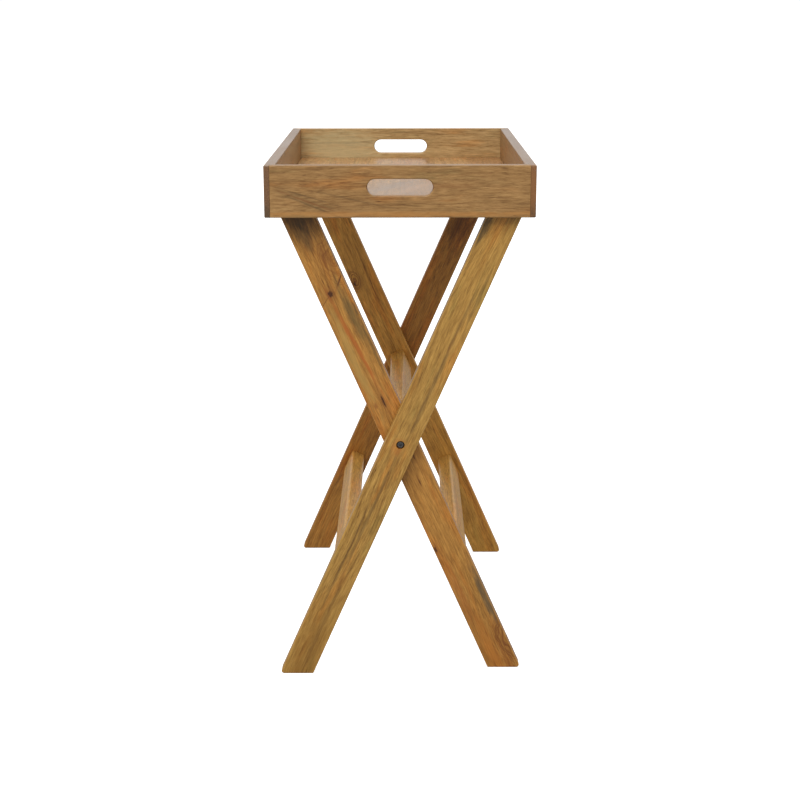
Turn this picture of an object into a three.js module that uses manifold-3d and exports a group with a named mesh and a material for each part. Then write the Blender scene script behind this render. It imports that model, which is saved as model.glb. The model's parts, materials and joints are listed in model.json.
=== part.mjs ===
// A folding tray table: a lift-off serving tray on an X-frame stand.
//
// Frame: millimetres, +Z up, +X across the table's width, +Y along its length.
// The origin is on the floor, under the middle of the tray.
//
// The stand is two frames. The outer frame's legs lean towards +X as they rise and the inner
// frame's legs lean towards -X. A bolt at each end passes through an outer leg and an inner leg
// into the end of the pivot rail, which belongs to the inner frame. The four leg tops stand in
// the shallow recess under the tray's floor, and the tray's sides keep them from spreading.

import * as THREE from 'three';
import { mergeVertices } from 'three/addons/utils/BufferGeometryUtils.js';
import Module from 'manifold-3d';

const wasm = await Module();
wasm.setup();

// ---------------------------------------------------------------- driving dimensions, mm

const GAP = 0.3; // clearance between pieces that touch on the real table
const PAST = 1; // how far a cutter runs past the face it cuts

const TABLE_HEIGHT = 770;
const TRAY_LENGTH = 610;
const TRAY_WIDTH = 380;
const TRAY_HEIGHT = 73;
const BOARD = 15; // thickness of the tray's side and end boards
const LIP = 8; // what is left of a side board beside the end board housed in it

const FLOOR_DEPTH = 50; // from the rim down to the tray's floor
const FLOOR_THICKNESS = 12;
const TONGUE = 6; // thickness of the floor's edge, where it enters the grooves
const GROOVE_DEPTH = 6;

const SLOT_LENGTH = 92; // hand hole, end to end
const SLOT_HEIGHT = 23;
const SLOT_DROP = 30.5; // from the rim down to the middle of the hand hole

const LEG_ANGLE = THREE.MathUtils.degToRad(23.65); // from upright
const LEG_WIDTH = 46;
const LEG_THICKNESS = 20;
const TOE_RADIUS = 4; // rounding of a leg's two pointed corners
const PIVOT_HEIGHT = 361;
const FRAME_INSET = 17.5; // from the tray's end face to the outer leg's face
const LEG_SPACE = 2; // between an outer and an inner leg, filled by a spacer washer

const RAIL_THICKNESS = 25; // across the leg
const RAIL_WIDTH = 41; // along the leg
const RAIL_EDGE = 5; // rounding of a rail's long edges
const FOOT_RAIL_HEIGHT = 166; // middle of the foot rails above the floor

const DOWEL_RADIUS = 4;
const DOWEL_IN_LEG = 12;
const DOWEL_IN_RAIL = 18;
const DOWEL_SPREAD = 10; // from the rail's middle to each dowel of a pair
const PIVOT_DOWEL_SPREAD = 13; // from the pivot bolt to the dowel that keys the pivot rail

const BOLT_RADIUS = 3; // M6
const BOLT_LENGTH = 50; // under the head
const BOLT_HEAD_RADIUS = 5;
const BOLT_HEAD_HEIGHT = 6;
const BOLT_HEAD_CHAMFER = 0.6;
const SOCKET_FLATS = 5; // hexagon socket, across flats
const SOCKET_DEPTH = 3;
const BOLT_HOLE_RADIUS = 3.5;
const COUNTERBORE_RADIUS = 6.2;
const COUNTERBORE_DEPTH = 11;

const WASHER_THICKNESS = 1.2;
const WASHER_RADIUS = 5.8;
const SPACER_RADIUS = 11;
const INSERT_RADIUS = 5;
const INSERT_LENGTH = 13;
const BOLT_RELIEF = 22; // depth of the bolt's hole in the end of the pivot rail

const PIN_RADIUS = 0.9;
const PIN_LENGTH = 30;
const PIN_HEAD_RADIUS = 1.5;
const PIN_HEAD_HEIGHT = 1;
const PIN_SET = 0.8; // depth of a pin's head below the side board's face
const PIN_FROM_EDGE = 16; // from the board's top and bottom edges to the pins

// ---------------------------------------------------------------- derived places

const TRAY_BOTTOM = TABLE_HEIGHT - TRAY_HEIGHT;
const FLOOR_TOP = TABLE_HEIGHT - FLOOR_DEPTH;
const FLOOR_UNDERSIDE = FLOOR_TOP - FLOOR_THICKNESS;
const TONGUE_MIDDLE = (FLOOR_TOP + FLOOR_UNDERSIDE) / 2;
const LEG_TOP = FLOOR_UNDERSIDE - GAP;

const INNER_X = TRAY_WIDTH / 2 - BOARD; // inside faces of the side boards
const INNER_Y = TRAY_LENGTH / 2 - BOARD; // inside faces of the end boards

const OUTER_LEG_FACE = TRAY_LENGTH / 2 - FRAME_INSET; // |y| of each leg's outward face
const INNER_LEG_FACE = OUTER_LEG_FACE - LEG_THICKNESS - LEG_SPACE;
const FOOT_RAIL_DROP = (PIVOT_HEIGHT - FOOT_RAIL_HEIGHT) / Math.cos(LEG_ANGLE);

// The two ends of the table: -1 is the front and +1 the rear.
const ENDS = [
  { name: 'front', side: -1 },
  { name: 'rear', side: 1 },
];
const SIDES = [
  { name: 'left', side: -1 },
  { name: 'right', side: 1 },
];

// ---------------------------------------------------------------- materials

function material(color, roughness, metalness = 0) {
  return new THREE.MeshStandardMaterial({ color, roughness, metalness });
}

const WOOD = material(0xa98252, 0.5);
const LEG_WOOD = material(0xa07644, 0.5);
const DOWEL_WOOD = material(0xcdb084, 0.8);
const BLACK_STEEL = material(0x16161a, 0.4, 0.9);
const ZINC = material(0xb8b9b4, 0.35, 1);
const NYLON = material(0x2b2a28, 0.6);

// ---------------------------------------------------------------- solids

// A closed geometry as a solid that can be joined and cut.
function solid(geometry) {
  const bare = geometry.clone();
  bare.deleteAttribute('normal');
  bare.deleteAttribute('uv');
  const merged = mergeVertices(bare, 1e-4);
  return new wasm.Manifold(new wasm.Mesh({
    numProp: 3,
    vertProperties: merged.attributes.position.array,
    triVerts: new Uint32Array(merged.index.array),
  }));
}

function geometryOf(manifold) {
  const mesh = manifold.getMesh();
  const geometry = new THREE.BufferGeometry();
  geometry.setAttribute('position', new THREE.BufferAttribute(mesh.vertProperties, 3));
  geometry.setIndex(new THREE.BufferAttribute(mesh.triVerts, 1));
  const flat = geometry.toNonIndexed();
  flat.computeVertexNormals();
  return flat;
}

// A solid with every cutter in the list taken away from it.
function cut(base, cutters) {
  return cutters.reduce((rest, cutter) => rest.subtract(cutter), base);
}

// A box between two corners.
function box(low, high) {
  const size = high.map((value, i) => value - low[i]);
  const geometry = new THREE.BoxGeometry(...size);
  geometry.translate(...low.map((value, i) => value + size[i] / 2));
  return solid(geometry);
}

// A round bar along Y at (x, z), between two values of y in either order.
function barAlongY(radius, x, z, yFrom, yTo, sides = 24) {
  const geometry = new THREE.CylinderGeometry(radius, radius, Math.abs(yTo - yFrom), sides);
  geometry.translate(x, (yFrom + yTo) / 2, z);
  return solid(geometry);
}

// A chamfer on the end of a round bar on the pivot axis: it narrows at 45 degrees towards yTo.
function coneAlongY(radius, yFrom, yTo, sides) {
  const height = Math.abs(yTo - yFrom);
  const radii = yTo > yFrom ? [radius - height, radius] : [radius, radius - height];
  const geometry = new THREE.CylinderGeometry(...radii, height, sides);
  geometry.translate(0, (yFrom + yTo) / 2, 0);
  return solid(geometry);
}

// A round bar along X at (y, z), between two values of x in either order.
function barAlongX(radius, y, z, xFrom, xTo, sides = 12) {
  const geometry = new THREE.CylinderGeometry(radius, radius, Math.abs(xTo - xFrom), sides);
  geometry.rotateZ(Math.PI / 2);
  geometry.translate((xFrom + xTo) / 2, y, z);
  return solid(geometry);
}

// A plate whose outline lies in the XZ plane, between two values of y.
function plateXZ(shape, yLow, yHigh, curveSegments = 8) {
  const depth = yHigh - yLow;
  const geometry = new THREE.ExtrudeGeometry(shape, { depth, bevelEnabled: false, curveSegments });
  geometry.rotateX(Math.PI / 2);
  geometry.translate(0, yHigh, 0);
  return solid(geometry);
}

// A closed outline through corners given anticlockwise as { x, y, r }, each rounded to radius r.
function roundedOutline(corners) {
  const shape = new THREE.Shape();
  corners.forEach((corner, i) => {
    const at = new THREE.Vector2(corner.x, corner.y);
    const before = corners[(i + corners.length - 1) % corners.length];
    const after = corners[(i + 1) % corners.length];
    const back = new THREE.Vector2(before.x, before.y).sub(at).normalize();
    const ahead = new THREE.Vector2(after.x, after.y).sub(at).normalize();
    if (!corner.r) {
      if (i === 0) shape.moveTo(at.x, at.y);
      else shape.lineTo(at.x, at.y);
      return;
    }
    const half = Math.acos(THREE.MathUtils.clamp(back.dot(ahead), -1, 1)) / 2;
    const start = at.clone().addScaledVector(back, corner.r / Math.tan(half));
    const end = at.clone().addScaledVector(ahead, corner.r / Math.tan(half));
    const bisector = back.clone().add(ahead).normalize();
    const centre = at.clone().addScaledVector(bisector, corner.r / Math.sin(half));
    if (i === 0) shape.moveTo(start.x, start.y);
    else shape.lineTo(start.x, start.y);
    const from = start.sub(centre).angle();
    const to = end.sub(centre).angle();
    shape.absarc(centre.x, centre.y, corner.r, from, to, false);
  });
  shape.closePath();
  return shape;
}

function named(name, manifold, look) {
  const mesh = new THREE.Mesh(geometryOf(manifold), look);
  mesh.name = name;
  return mesh;
}

// ---------------------------------------------------------------- tray

// The places of a corner's pins, one near the top edge and one near the bottom edge.
function pinPlaces(end) {
  const y = end.side * (TRAY_LENGTH / 2 - BOARD / 2);
  return [
    { name: 'upper', y, z: TABLE_HEIGHT - PIN_FROM_EDGE },
    { name: 'lower', y, z: TRAY_BOTTOM + PIN_FROM_EDGE },
  ];
}

// The hole for one pin, with room for its head, from the side board's face inwards.
function pinHole(side, place) {
  const face = side.side * (TRAY_WIDTH / 2 + PAST);
  const headEnd = side.side * (TRAY_WIDTH / 2 - PIN_SET - PIN_HEAD_HEIGHT - GAP);
  const pointEnd = side.side * (TRAY_WIDTH / 2 - PIN_SET - PIN_LENGTH - GAP);
  const head = barAlongX(PIN_HEAD_RADIUS + GAP, place.y, place.z, face, headEnd);
  return head.add(barAlongX(PIN_RADIUS + GAP, place.y, place.z, face, pointEnd));
}

function cornerPin(side, place) {
  const top = side.side * (TRAY_WIDTH / 2 - PIN_SET);
  const neck = top - side.side * PIN_HEAD_HEIGHT;
  const point = top - side.side * PIN_LENGTH;
  const head = barAlongX(PIN_HEAD_RADIUS, place.y, place.z, top, neck);
  return head.add(barAlongX(PIN_RADIUS, place.y, place.z, top, point));
}

// The groove for the floor's tongue, as a box around the whole inside of the tray.
function floorGroove() {
  const x = INNER_X + GROOVE_DEPTH;
  const y = INNER_Y + GROOVE_DEPTH;
  const half = TONGUE / 2 + GAP;
  return box([-x, -y, TONGUE_MIDDLE - half], [x, y, TONGUE_MIDDLE + half]);
}

// A long side board, rebated at both ends to house the end boards.
function sideBoard(side) {
  const [low, high] = side.side < 0 ? [-TRAY_WIDTH / 2, -INNER_X] : [INNER_X, TRAY_WIDTH / 2];
  const y = TRAY_LENGTH / 2;
  const board = box([low, -y, TRAY_BOTTOM], [high, y, TABLE_HEIGHT]);
  const lipFace = TRAY_WIDTH / 2 - LIP;
  const rebates = ENDS.map((end) => {
    const [near, far] = end.side < 0 ? [-y - PAST, -INNER_Y] : [INNER_Y, y + PAST];
    return box([-lipFace, near, TRAY_BOTTOM - PAST], [lipFace, far, TABLE_HEIGHT + PAST]);
  });
  const holes = ENDS.flatMap((end) => pinPlaces(end).map((place) => pinHole(side, place)));
  return cut(board, [...rebates, floorGroove(), ...holes]);
}

// A short end board with its hand hole.
function endBoard(end) {
  const x = TRAY_WIDTH / 2 - LIP - GAP;
  const inside = INNER_Y + GAP;
  const outside = TRAY_LENGTH / 2;
  const [low, high] = end.side < 0 ? [-outside, -inside] : [inside, outside];
  const board = box([-x, low, TRAY_BOTTOM], [x, high, TABLE_HEIGHT]);
  const radius = SLOT_HEIGHT / 2;
  const reach = SLOT_LENGTH / 2 - radius;
  const middle = TABLE_HEIGHT - SLOT_DROP;
  const outline = new THREE.Shape();
  outline.absarc(reach, middle, radius, -Math.PI / 2, Math.PI / 2, false);
  outline.absarc(-reach, middle, radius, Math.PI / 2, Math.PI * 1.5, false);
  const slot = plateXZ(outline, low - PAST, high + PAST, 16);
  const holes = SIDES.flatMap((side) => pinPlaces(end).map((place) => pinHole(side, place)));
  return cut(board, [slot, floorGroove(), ...holes]);
}

// The floor: a glued-up panel with a tongue all round.
function floorPanel() {
  const x = INNER_X - GAP;
  const y = INNER_Y - GAP;
  const reach = GROOVE_DEPTH;
  const panel = box([-x, -y, FLOOR_UNDERSIDE], [x, y, FLOOR_TOP]);
  const tongue = box(
    [-x - reach, -y - reach, TONGUE_MIDDLE - TONGUE / 2],
    [x + reach, y + reach, TONGUE_MIDDLE + TONGUE / 2],
  );
  return panel.add(tongue);
}

function tray() {
  const group = new THREE.Group();
  SIDES.forEach((side) => group.add(named(`tray_side_${side.name}`, sideBoard(side), WOOD)));
  ENDS.forEach((end) => group.add(named(`tray_end_${end.name}`, endBoard(end), WOOD)));
  group.add(named('tray_floor', floorPanel(), WOOD));
  ENDS.forEach((end) => SIDES.forEach((side) => pinPlaces(end).forEach((place) => {
    const name = `corner_pin_${end.name}_${side.name}_${place.name}`;
    group.add(named(name, cornerPin(side, place), ZINC));
  })));
  return group;
}

// ---------------------------------------------------------------- stand
//
// Each frame is modelled upright: X across the leg, Z along it and the pivot axis at the origin.
// lean is +1 on the outer frame and -1 on the inner frame.

// A leg's outline. Its ends are cut level for a leg that leans by lean x LEG_ANGLE.
function legOutline(lean) {
  const half = LEG_WIDTH / 2;
  const slope = lean * half * Math.tan(LEG_ANGLE);
  const foot = -PIVOT_HEIGHT / Math.cos(LEG_ANGLE);
  const head = (LEG_TOP - PIVOT_HEIGHT) / Math.cos(LEG_ANGLE);
  const pointed = lean > 0 ? [TOE_RADIUS, 0] : [0, TOE_RADIUS];
  return roundedOutline([
    { x: -half, y: foot - slope, r: pointed[0] },
    { x: half, y: foot + slope, r: pointed[1] },
    { x: half, y: head + slope, r: pointed[0] },
    { x: -half, y: head - slope, r: pointed[1] },
  ]);
}

// A leg with its outward face at |y| = face, bored for the pivot bolt.
function plainLeg(lean, end, face) {
  const faces = [end.side * face, end.side * (face - LEG_THICKNESS)];
  const leg = plateXZ(legOutline(lean), Math.min(...faces), Math.max(...faces));
  const past = end.side * PAST;
  return leg.subtract(barAlongY(BOLT_HOLE_RADIUS, 0, 0, faces[0] + past, faces[1] - past));
}

// The dowels that join a foot rail to a leg whose inward face is at |y| = face.
function footDowelPlaces() {
  return [
    { name: 'upper', z: -FOOT_RAIL_DROP + DOWEL_SPREAD },
    { name: 'lower', z: -FOOT_RAIL_DROP - DOWEL_SPREAD },
  ];
}

function dowel(end, z, face) {
  const legEnd = end.side * (face + DOWEL_IN_LEG);
  const railEnd = end.side * (face - DOWEL_IN_RAIL);
  return barAlongY(DOWEL_RADIUS, 0, z, legEnd, railEnd, 16);
}

function dowelHole(end, z, face) {
  const legEnd = end.side * (face + DOWEL_IN_LEG + GAP);
  const railEnd = end.side * (face - DOWEL_IN_RAIL - GAP);
  return barAlongY(DOWEL_RADIUS + GAP, 0, z, legEnd, railEnd, 16);
}

// A rail between two inward faces at |y| = face, its middle at height z.
function plainRail(z, face) {
  const x = RAIL_THICKNESS / 2;
  const reach = face - GAP;
  const low = z - RAIL_WIDTH / 2;
  const high = z + RAIL_WIDTH / 2;
  const outline = roundedOutline([
    { x: -x, y: low, r: RAIL_EDGE },
    { x, y: low, r: RAIL_EDGE },
    { x, y: high, r: RAIL_EDGE },
    { x: -x, y: high, r: RAIL_EDGE },
  ]);
  return plateXZ(outline, -reach, reach, 4);
}

function footRail(face) {
  const holes = ENDS.flatMap((end) => footDowelPlaces().map(({ z }) => dowelHole(end, z, face)));
  return cut(plainRail(-FOOT_RAIL_DROP, face), holes);
}

function outerLeg(end) {
  const seat = end.side * (OUTER_LEG_FACE - COUNTERBORE_DEPTH);
  const mouth = end.side * (OUTER_LEG_FACE + PAST);
  const counterbore = barAlongY(COUNTERBORE_RADIUS, 0, 0, seat, mouth, 32);
  const face = OUTER_LEG_FACE - LEG_THICKNESS;
  const holes = footDowelPlaces().map(({ z }) => dowelHole(end, z, face));
  return cut(plainLeg(1, end, OUTER_LEG_FACE), [counterbore, ...holes]);
}

function innerLeg(end) {
  const face = INNER_LEG_FACE - LEG_THICKNESS;
  const holes = footDowelPlaces().map(({ z }) => dowelHole(end, z, face));
  const key = dowelHole(end, PIVOT_DOWEL_SPREAD, face);
  return cut(plainLeg(-1, end, INNER_LEG_FACE), [...holes, key]);
}

// The rail on the pivot axis, bored at each end for a threaded insert, the bolt and a key dowel.
function pivotRail(face) {
  const cutters = ENDS.flatMap((end) => {
    const mouth = end.side * (face + PAST);
    const seat = end.side * (face - 2 * GAP - INSERT_LENGTH);
    const relief = end.side * (face - BOLT_RELIEF);
    return [
      barAlongY(INSERT_RADIUS + GAP, 0, 0, mouth, seat),
      barAlongY(BOLT_HOLE_RADIUS, 0, 0, mouth, relief),
      dowelHole(end, PIVOT_DOWEL_SPREAD, face),
    ];
  });
  return cut(plainRail(0, face), cutters);
}

// A socket-head bolt whose head bears on the washer in the outer leg's counterbore.
function pivotBolt(end) {
  const seat = OUTER_LEG_FACE - COUNTERBORE_DEPTH + WASHER_THICKNESS + 2 * GAP;
  const top = seat + BOLT_HEAD_HEIGHT;
  const shoulder = top - BOLT_HEAD_CHAMFER;
  const head = barAlongY(BOLT_HEAD_RADIUS, 0, 0, end.side * seat, end.side * shoulder, 32);
  const rim = coneAlongY(BOLT_HEAD_RADIUS, end.side * shoulder, end.side * top, 32);
  const shank = barAlongY(BOLT_RADIUS, 0, 0, end.side * (seat - BOLT_LENGTH), end.side * top);
  const socketRadius = SOCKET_FLATS / 2 / Math.cos(Math.PI / 6);
  const [floor, mouth] = [end.side * (top - SOCKET_DEPTH), end.side * (top + PAST)];
  const socket = barAlongY(socketRadius, 0, 0, floor, mouth, 6);
  return head.add(rim).add(shank).subtract(socket);
}

// A flat ring on the pivot axis between two values of |y|.
function ring(end, radius, yFrom, yTo) {
  const outer = barAlongY(radius, 0, 0, end.side * yFrom, end.side * yTo, 32);
  const past = PAST * Math.sign(yTo - yFrom);
  const yIn = end.side * (yFrom - past);
  const yOut = end.side * (yTo + past);
  return outer.subtract(barAlongY(BOLT_RADIUS + GAP, 0, 0, yIn, yOut));
}

function headWasher(end) {
  const seat = OUTER_LEG_FACE - COUNTERBORE_DEPTH + GAP;
  return ring(end, WASHER_RADIUS, seat, seat + WASHER_THICKNESS);
}

function spacerWasher(end) {
  return ring(end, SPACER_RADIUS, INNER_LEG_FACE + GAP, INNER_LEG_FACE + LEG_SPACE - GAP);
}

function threadedInsert(end) {
  const mouth = INNER_LEG_FACE - LEG_THICKNESS - 2 * GAP;
  return ring(end, INSERT_RADIUS, mouth, mouth - INSERT_LENGTH);
}

function addFootDowels(group, frameName, face) {
  ENDS.forEach((end) => footDowelPlaces().forEach((place) => {
    const name = `${frameName}_dowel_${end.name}_${place.name}`;
    group.add(named(name, dowel(end, place.z, face), DOWEL_WOOD));
  }));
}

function outerFrame() {
  const group = new THREE.Group();
  const face = OUTER_LEG_FACE - LEG_THICKNESS;
  ENDS.forEach((end) => {
    group.add(named(`outer_leg_${end.name}`, outerLeg(end), LEG_WOOD));
    group.add(named(`head_washer_${end.name}`, headWasher(end), BLACK_STEEL));
  });
  group.add(named('outer_foot_rail', footRail(face), LEG_WOOD));
  addFootDowels(group, 'outer', face);
  return group;
}

function innerFrame() {
  const group = new THREE.Group();
  const face = INNER_LEG_FACE - LEG_THICKNESS;
  ENDS.forEach((end) => {
    group.add(named(`inner_leg_${end.name}`, innerLeg(end), LEG_WOOD));
    group.add(named(`pivot_bolt_${end.name}`, pivotBolt(end), BLACK_STEEL));
    group.add(named(`spacer_washer_${end.name}`, spacerWasher(end), NYLON));
    group.add(named(`threaded_insert_${end.name}`, threadedInsert(end), ZINC));
    group.add(named(`key_dowel_${end.name}`, dowel(end, PIVOT_DOWEL_SPREAD, face), DOWEL_WOOD));
  });
  group.add(named('pivot_rail', pivotRail(face), LEG_WOOD));
  group.add(named('inner_foot_rail', footRail(face), LEG_WOOD));
  addFootDowels(group, 'inner', face);
  return group;
}

// Stands a frame on the floor, leaning by lean x LEG_ANGLE about the pivot axis.
function leaning(frame, lean) {
  frame.position.z = PIVOT_HEIGHT;
  frame.rotation.y = lean * LEG_ANGLE;
  return frame;
}

const table = new THREE.Group();
table.add(leaning(outerFrame(), 1), leaning(innerFrame(), -1), tray());

export default table;
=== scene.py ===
# A folding tray table: a lift-off wooden tray on an X-frame stand.
#
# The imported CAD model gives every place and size. Each board is rebuilt here with rounded
# arrises and a solid wood grain of its own. The hardware is the CAD's, with new materials.

import json
import math

import bmesh
import bpy
from mathutils import Matrix, Vector
from mathutils.geometry import tessellate_polygon


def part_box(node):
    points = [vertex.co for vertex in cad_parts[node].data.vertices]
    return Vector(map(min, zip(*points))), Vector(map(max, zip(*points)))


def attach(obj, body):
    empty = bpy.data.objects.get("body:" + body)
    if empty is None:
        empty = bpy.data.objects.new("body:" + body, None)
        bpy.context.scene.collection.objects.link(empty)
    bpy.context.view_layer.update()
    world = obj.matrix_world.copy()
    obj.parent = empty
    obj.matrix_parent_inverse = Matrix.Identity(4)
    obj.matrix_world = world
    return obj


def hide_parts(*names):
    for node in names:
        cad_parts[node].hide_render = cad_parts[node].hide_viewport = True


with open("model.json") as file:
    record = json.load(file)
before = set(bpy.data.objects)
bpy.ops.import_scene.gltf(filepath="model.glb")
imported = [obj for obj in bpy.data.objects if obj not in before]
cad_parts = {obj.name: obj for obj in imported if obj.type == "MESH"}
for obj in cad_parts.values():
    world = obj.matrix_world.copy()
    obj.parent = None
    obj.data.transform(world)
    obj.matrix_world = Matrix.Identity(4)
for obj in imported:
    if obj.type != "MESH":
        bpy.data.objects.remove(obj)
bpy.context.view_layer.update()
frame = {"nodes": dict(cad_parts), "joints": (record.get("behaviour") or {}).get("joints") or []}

# ---------------------------------------------------------------- driving dimensions, metres

MM = 0.001

GAP = 0.3 * MM  # clearance between pieces that touch on the real table
GLUE_FILL = 0.25 * MM  # how much of it the tray's glued corner joints take up
EASE = 1.6 * MM  # rounding of a board's long edges
CORNER_EASE = 1.8 * MM  # rounding of a corner between rounded edges: over EASE, or they fold
FINE_EASE = 0.4 * MM  # rounding where a board meets another
GROOVE_EASE = 0.2 * MM  # rounding of a groove's mouth
ARC_STEPS = 4  # facets across one rounded edge
LEG_ARC_STEPS = 6  # facets round a leg's corner
MOUTH_STEPS = 3  # facets across the lip of a bore
CIRCLE_STEPS = 32
SLOT_STEPS = 14  # facets round one end of a hand hole
SHARP_ANGLE = math.radians(34)  # edges that turn more than this stay sharp
SAME_PLACE = 0.001 * MM  # points closer than this are one point
NO_AREA = 1e-14  # square metres: twice the area of a triangle that isn't worth a face
END_FACING = 0.7  # faces that look this much along the grain show end grain

BOARD = 15 * MM  # thickness of the tray's side and end boards
LIP = 8 * MM  # what is left of a side board beside the end board
GROOVE_DEPTH = 6 * MM
TONGUE = 6 * MM
SLOT_LENGTH = 92 * MM
SLOT_HEIGHT = 23 * MM
SLOT_DROP = 30.5 * MM  # from the board's top to the hand hole's middle
SLOT_EASE = 2.2 * MM  # the hand holes' edges are rounded more, for the fingers
END_SHARE = (0.2, 1.0)  # an end board's ends are rounded less, so that its joints stay tight
STAVE = 58 * MM  # width of one stave of the tray's floor

LEG_ANGLE = math.radians(23.65)
LEG_WIDTH = 46 * MM
TOE_RADIUS = 4 * MM  # rounding of a leg's pointed corners
BOLT_HOLE_RADIUS = 3.5 * MM
COUNTERBORE_RADIUS = 6.2 * MM
COUNTERBORE_DEPTH = 11 * MM
COUNTERBORE_EASE = 0.5 * MM

RAIL_THICKNESS = 25 * MM
RAIL_WIDTH = 41 * MM
RAIL_EASE = 5 * MM

SIDES = {"left": -1, "right": 1}

PIVOT = Vector(next(j for j in frame["joints"] if j["name"] == "stand_fold")["pos_m"])

X = Vector((1, 0, 0))
Y = Vector((0, 1, 0))
Z = Vector((0, 0, 1))

CAMERA_AT = Vector((0.0045, -2.496, 1.0056))
CAMERA_TURN = (-0.13, 14.62, -0.08)  # yaw, pitch downwards and roll, degrees
CAMERA_LENS = 70.78  # millimetres
CAMERA_SENSOR = 36.0  # millimetres

WHITE = (1.0, 1.0, 1.0, 1.0)
FLOOR_REACH = 14.0  # half the studio floor's width
FLOOR_LIT = (0.38, 0.38, 0.38, 1.0)  # the floor as it lights the table
FLOOR_SEEN = (0.90, 0.90, 0.90, 1.0)  # the floor as the camera sees it
FLOOR_GLOW = 0.75  # its glow, for the camera alone
ROOM_FRONT = 0.62  # the room's light from in front of the table
ROOM_BACK = 1.0  # and from behind it
BACKDROP_SEEN = 1.05  # the least that the camera sees of the backdrop

SOFTBOX_AT = (-0.5, -2.3, 2.9)
SOFTBOX_AIM = (0, 0, 0.4)
SOFTBOX_SIZE = 1.8
SOFTBOX_POWER = 60

# ---------------------------------------------------------------- outlines in a plane


def rounded(corners, steps=ARC_STEPS):
    """Points and edge weights of an anticlockwise outline of (x, y, radius) corners."""
    points = []
    count = len(corners)
    for i, (x, y, radius) in enumerate(corners):
        at = Vector((x, y))
        back = (Vector(corners[i - 1][:2]) - at).normalized()
        ahead = (Vector(corners[(i + 1) % count][:2]) - at).normalized()
        if radius <= 0:
            points.append((at, 0.0))
            continue
        half = math.acos(max(-1.0, min(1.0, back.dot(ahead)))) / 2
        start = at + back * (radius / math.tan(half))
        centre = at + (back + ahead).normalized() * (radius / math.sin(half))
        spoke = start - centre
        concave = back.x * ahead.y - back.y * ahead.x > 0
        sweep = (math.pi - 2 * half) * (-1 if concave else 1)
        for k in range(steps + 1):
            turn = sweep * k / steps
            spun = Matrix.Rotation(turn, 2) @ spoke
            points.append((centre + spun, math.sin(math.pi * k / steps)))
    return points


def circle(centre, radius):
    """Points of a circle, anticlockwise."""
    turns = [2 * math.pi * k / CIRCLE_STEPS for k in range(CIRCLE_STEPS)]
    return [Vector(centre) + radius * Vector((math.cos(t), math.sin(t))) for t in turns]


def stadium(centre, length, height):
    """Points of a slot with round ends, anticlockwise."""
    radius = height / 2
    reach = length / 2 - radius
    points = []
    for side, start in ((1, -math.pi / 2), (-1, math.pi / 2)):
        middle = Vector(centre) + Vector((side * reach, 0))
        for k in range(SLOT_STEPS + 1):
            t = start + math.pi * k / SLOT_STEPS
            points.append(middle + radius * Vector((math.cos(t), math.sin(t))))
    return points


def rectangle(low, high):
    """Corners of a rectangle, anticlockwise."""
    return [Vector(low), Vector((high[0], low[1])), Vector(high), Vector((low[0], high[1]))]


def rounded_rectangle(low, high, radius):
    """Points and edge weights of a rectangle with four rounded corners."""
    return rounded([(corner.x, corner.y, radius) for corner in rectangle(low, high)])


def grown(points, distance):
    """An anticlockwise outline moved outwards by a distance."""
    out = []
    for i, at in enumerate(points):
        before = at - points[i - 1]
        after = points[(i + 1) % len(points)] - at
        n1 = Vector((before.y, -before.x)).normalized()
        n2 = Vector((after.y, -after.x)).normalized()
        out.append(at + (n1 + n2) * (distance / (1 + n1.dot(n2))))
    return out


# ---------------------------------------------------------------- solids built ring by ring


class Solid:
    """A closed mesh in a piece's own (p, q, n) frame: rings of points at heights along n."""

    def __init__(self):
        self.bm = bmesh.new()
        self.edge = self.bm.verts.layers.float.new("edge")

    def ring(self, points, height, edges=0.0):
        if isinstance(edges, float):
            edges = [edges] * len(points)
        made = []
        for point, weight in zip(points, edges):
            vert = self.bm.verts.new((point.x, point.y, height))
            vert[self.edge] = weight
            made.append(vert)
        return made

    def wall(self, lower, upper, inward=False):
        count = len(lower)
        for i in range(count):
            j = (i + 1) % count
            quad = [lower[i], lower[j], upper[j], upper[i]]
            self.bm.faces.new(quad[::-1] if inward else quad)

    def tube(self, rings, inward=False):
        for lower, upper in zip(rings, rings[1:]):
            self.wall(lower, upper, inward)

    def cap(self, loops, up):
        """A flat face inside the first loop and outside the others."""
        flat = [[Vector((v.co.x, v.co.y, 0)) for v in loop] for loop in loops]
        verts = [v for loop in loops for v in loop]
        for triangle in tessellate_polygon(flat):
            a, b, c = (verts[i] for i in triangle)
            turn = (b.co - a.co).cross(c.co - a.co).z
            if abs(turn) < NO_AREA:
                continue
            self.bm.faces.new((a, b, c) if (turn > 0) == up else (a, c, b))

    def finish(self, name, to_world, along, across):
        """The object in the row frame, with its place along, across and through the board."""
        bmesh.ops.remove_doubles(self.bm, verts=self.bm.verts, dist=SAME_PLACE)
        self.bm.transform(to_world)
        if to_world.determinant() < 0:
            bmesh.ops.reverse_faces(self.bm, faces=self.bm.faces)
        mesh = bpy.data.meshes.new(name)
        self.bm.to_mesh(mesh)
        self.bm.free()
        mark_grain(mesh, along, across)
        mesh.shade_smooth()
        mesh.set_sharp_from_angle(angle=SHARP_ANGLE)
        obj = bpy.data.objects.new(name, mesh)
        bpy.context.scene.collection.objects.link(obj)
        weighted = obj.modifiers.new("weighted_normals", "WEIGHTED_NORMAL")
        weighted.keep_sharp = True
        return obj


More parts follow.
